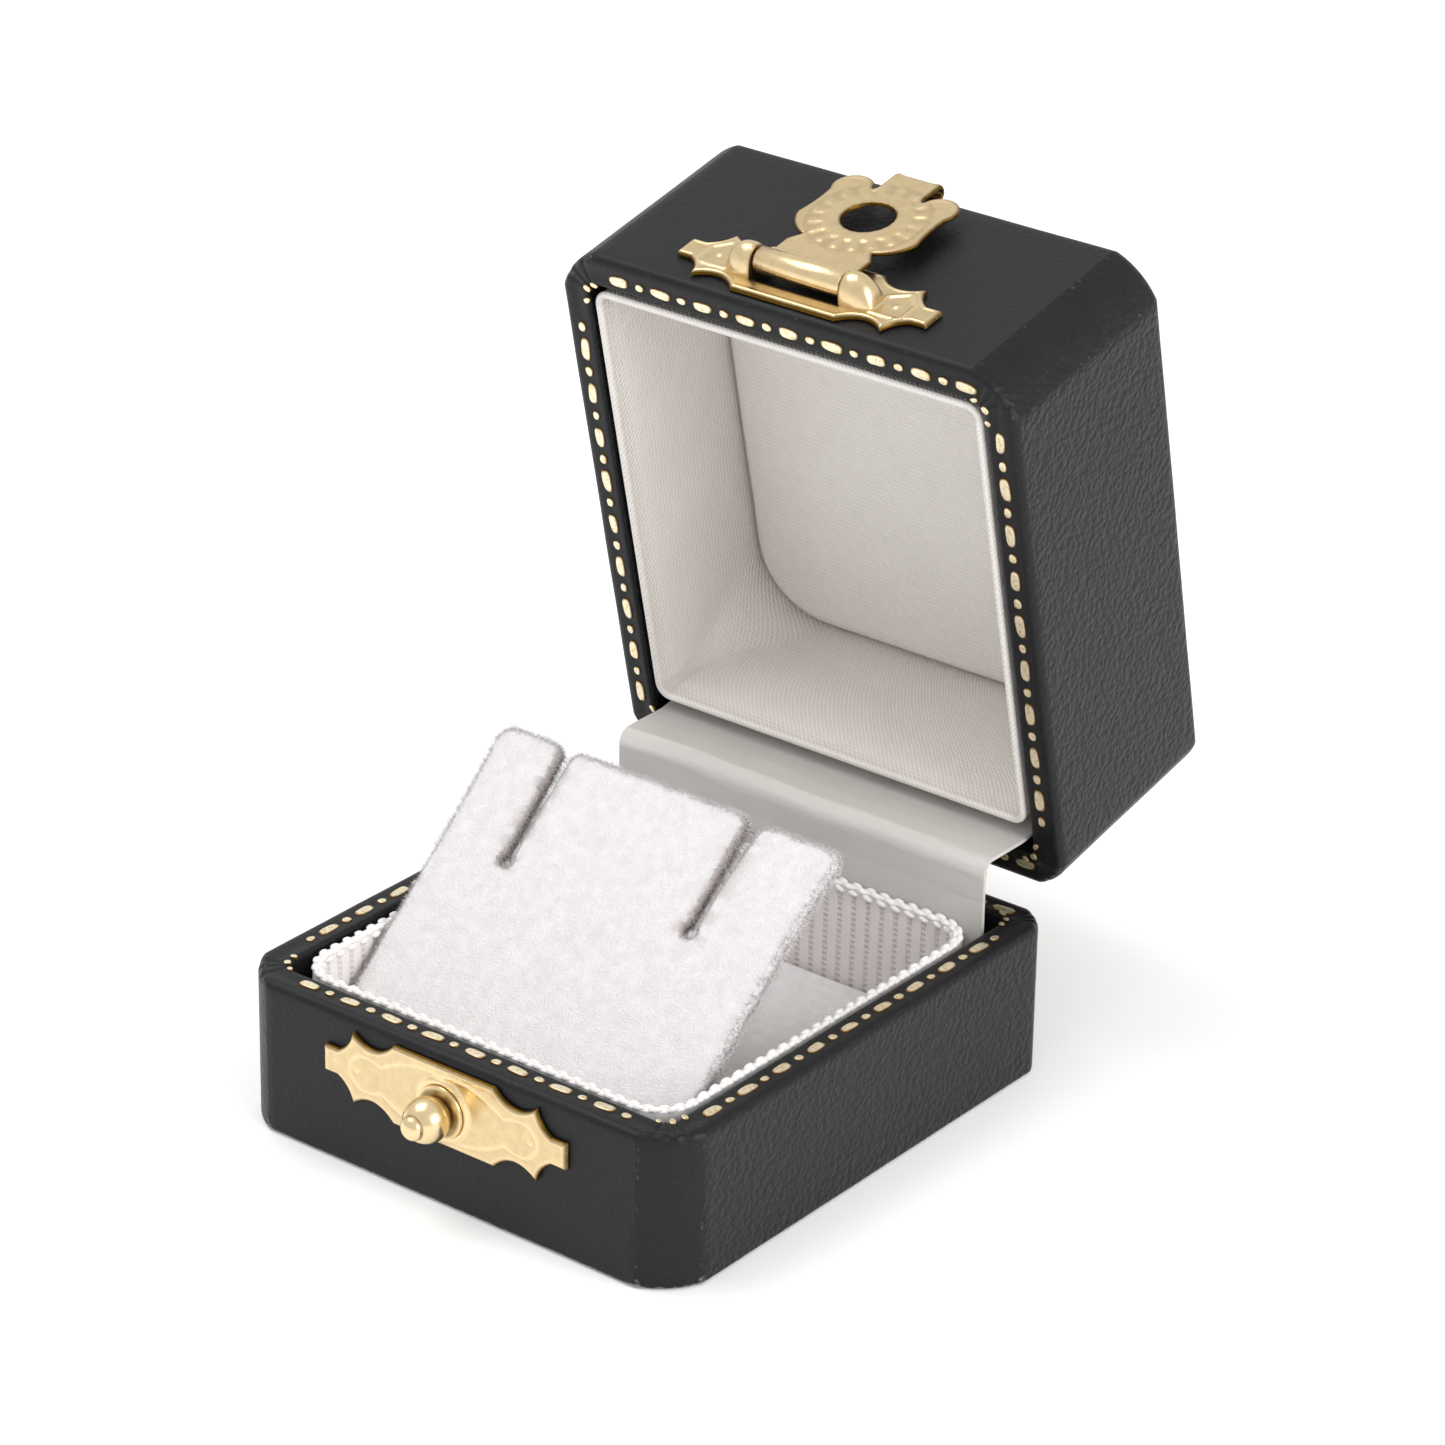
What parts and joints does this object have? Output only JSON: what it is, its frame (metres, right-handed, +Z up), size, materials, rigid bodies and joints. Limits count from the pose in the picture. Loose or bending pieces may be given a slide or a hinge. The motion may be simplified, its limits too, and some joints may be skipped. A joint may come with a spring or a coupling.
{
  "type": "jewelry box",
  "caption": "Small leather-covered earring box with an open satin-lined lid, a brass hasp and a slotted card in its tray.",
  "frame": {"origin": "centre of the underside, where the box rests", "axes": "+Z up, the clasp on the front at -Y, +X to the right seen from the front; the lid is stored open"},
  "size_m": [0.05, 0.0829, 0.0765],
  "materials": {
    "black_leather": "satin, fine pebble grain",
    "grey_board": "matte",
    "ivory_satin": "satin weave, soft sheen",
    "white_grosgrain": "ribbed, matte",
    "white_flock": "flocked, velvety",
    "pale_brass": "polished, stamped",
    "black_felt": "matte"
  },
  "bodies": {
    "base": {"base_leather_cover": "black_leather", "base_wall_boards": "grey_board", "base_floor_board": "grey_board", "base_felt": "black_felt", "tray_collar": "white_grosgrain", "tray_floor_pad": "white_flock", "hinge_ribbon": "ivory_satin", "clasp_plate": "pale_brass", "clasp_knob": "pale_brass", "left_hinge_base_leaf": "pale_brass", "left_hinge_pin": "pale_brass", "left_hinge_base_nail_1": "pale_brass", "left_hinge_base_nail_2": "pale_brass", "right_hinge_base_leaf": "pale_brass", "right_hinge_pin": "pale_brass", "right_hinge_base_nail_1": "pale_brass", "right_hinge_base_nail_2": "pale_brass"},
    "lid": {"lid_leather_cover": "black_leather", "lid_wall_boards": "grey_board", "lid_top_board": "grey_board", "lid_satin_liner": "ivory_satin", "lid_cushion": "ivory_satin", "lid_cushion_card": "grey_board", "hasp_plate": "pale_brass", "hasp_pin": "pale_brass", "left_hinge_lid_leaf": "pale_brass", "left_hinge_lid_nail_1": "pale_brass", "left_hinge_lid_nail_2": "pale_brass", "right_hinge_lid_leaf": "pale_brass", "right_hinge_lid_nail_1": "pale_brass", "right_hinge_lid_nail_2": "pale_brass"},
    "hasp": {"hasp_leaf": "pale_brass"},
    "card": {"earring_card": "white_flock"}
  },
  "joints": [
    {"name": "lid_hinge", "type": "hinge", "parent": "base", "child": "lid", "pos_m": [0, 0.02885, 0.01515], "axis": [1, 0, 0], "range_deg": [0, 77.2], "deforming": ["hinge_ribbon"]},
    {"name": "hasp_hinge", "type": "hinge", "parent": "lid", "child": "hasp", "pos_m": [0, 0.02031, 0.07259], "axis": [1, 0, 0], "range_deg": [0, 180]},
    {"name": "card_fold", "type": "hinge", "parent": "base", "child": "card", "pos_m": [0, -0.0214, 0.0056], "axis": [1, 0, 0], "range_deg": [-38, 0], "stiffness_Nm_per_rad": 0.004, "springref_deg": 1.15}
  ]
}
